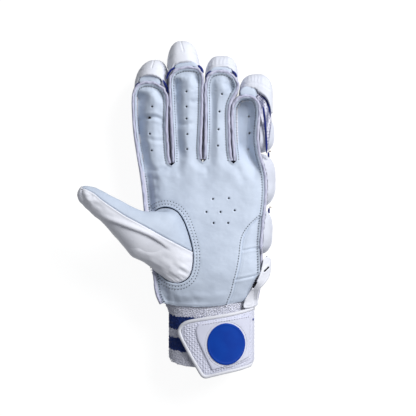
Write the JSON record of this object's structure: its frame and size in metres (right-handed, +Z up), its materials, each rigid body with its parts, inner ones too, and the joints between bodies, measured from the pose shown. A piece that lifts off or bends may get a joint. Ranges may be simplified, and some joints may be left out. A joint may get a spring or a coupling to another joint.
{
  "type": "batting glove",
  "caption": "Left-hand cricket batting glove: soft leather palm, foam rolls and capped fingertips on the back, a standing thumb, a towelling cuff and a wrist strap.",
  "frame": {"origin": "under the middle of the glove's bounding box, on the surface that it rests on", "axes": "+Z up, out of the palm; +Y along the fingers towards the fingertips; +X towards the little finger. The glove lies on its padded back with the palm up"},
  "size_m": [0.174, 0.2958, 0.0799],
  "materials": {
    "palm_leather": "soft pale blue-grey leather, matt",
    "white_leather": "white leather, slight sheen",
    "padded_cover": "white coated leather over foam, slight sheen",
    "back_cloth": "dark blue cloth",
    "gusset_cloth": "white mesh cloth with a pale violet bound edge",
    "towelling": "white towelling with two dark blue bands",
    "strap": "white embossed soft sheet",
    "strap_binding": "white woven tape over a cord",
    "badge": "blue, smooth, slight sheen"
  },
  "bodies": {
    "root": {"palm_leather": "palm_leather", "heel_patch": "palm_leather", "index_tip_band": "palm_leather", "middle_tip_band": "palm_leather", "ring_tip_band": "palm_leather", "little_tip_band": "palm_leather", "thumb_leather": "palm_leather", "thumb_gusset": "white_leather", "thumb_pad_tip": "white_leather", "thumb_pad_base": "white_leather", "wrist_flap": "white_leather", "index_cap": "padded_cover", "middle_cap": "padded_cover", "ring_cap": "padded_cover", "little_cap": "padded_cover", "index_roll_1": "padded_cover", "index_roll_2": "padded_cover", "middle_roll_1": "padded_cover", "middle_roll_2": "padded_cover", "ring_roll_1": "padded_cover", "ring_roll_2": "padded_cover", "index_hand_roll_1": "padded_cover", "middle_hand_roll_1": "padded_cover", "ring_hand_roll_1": "padded_cover", "index_hand_roll_2": "padded_cover", "middle_hand_roll_2": "padded_cover", "ring_hand_roll_2": "padded_cover", "little_roll": "padded_cover", "side_roll_1": "padded_cover", "side_roll_2": "padded_cover", "wrist_pad": "padded_cover", "back_leather": "back_cloth", "index_gusset": "gusset_cloth", "middle_gusset": "gusset_cloth", "ring_gusset": "gusset_cloth", "little_gusset": "gusset_cloth", "cuff": "towelling", "strap": "strap", "strap_panel": "strap", "strap_binding": "strap_binding", "badge": "badge"}
  },
  "joints": []
}
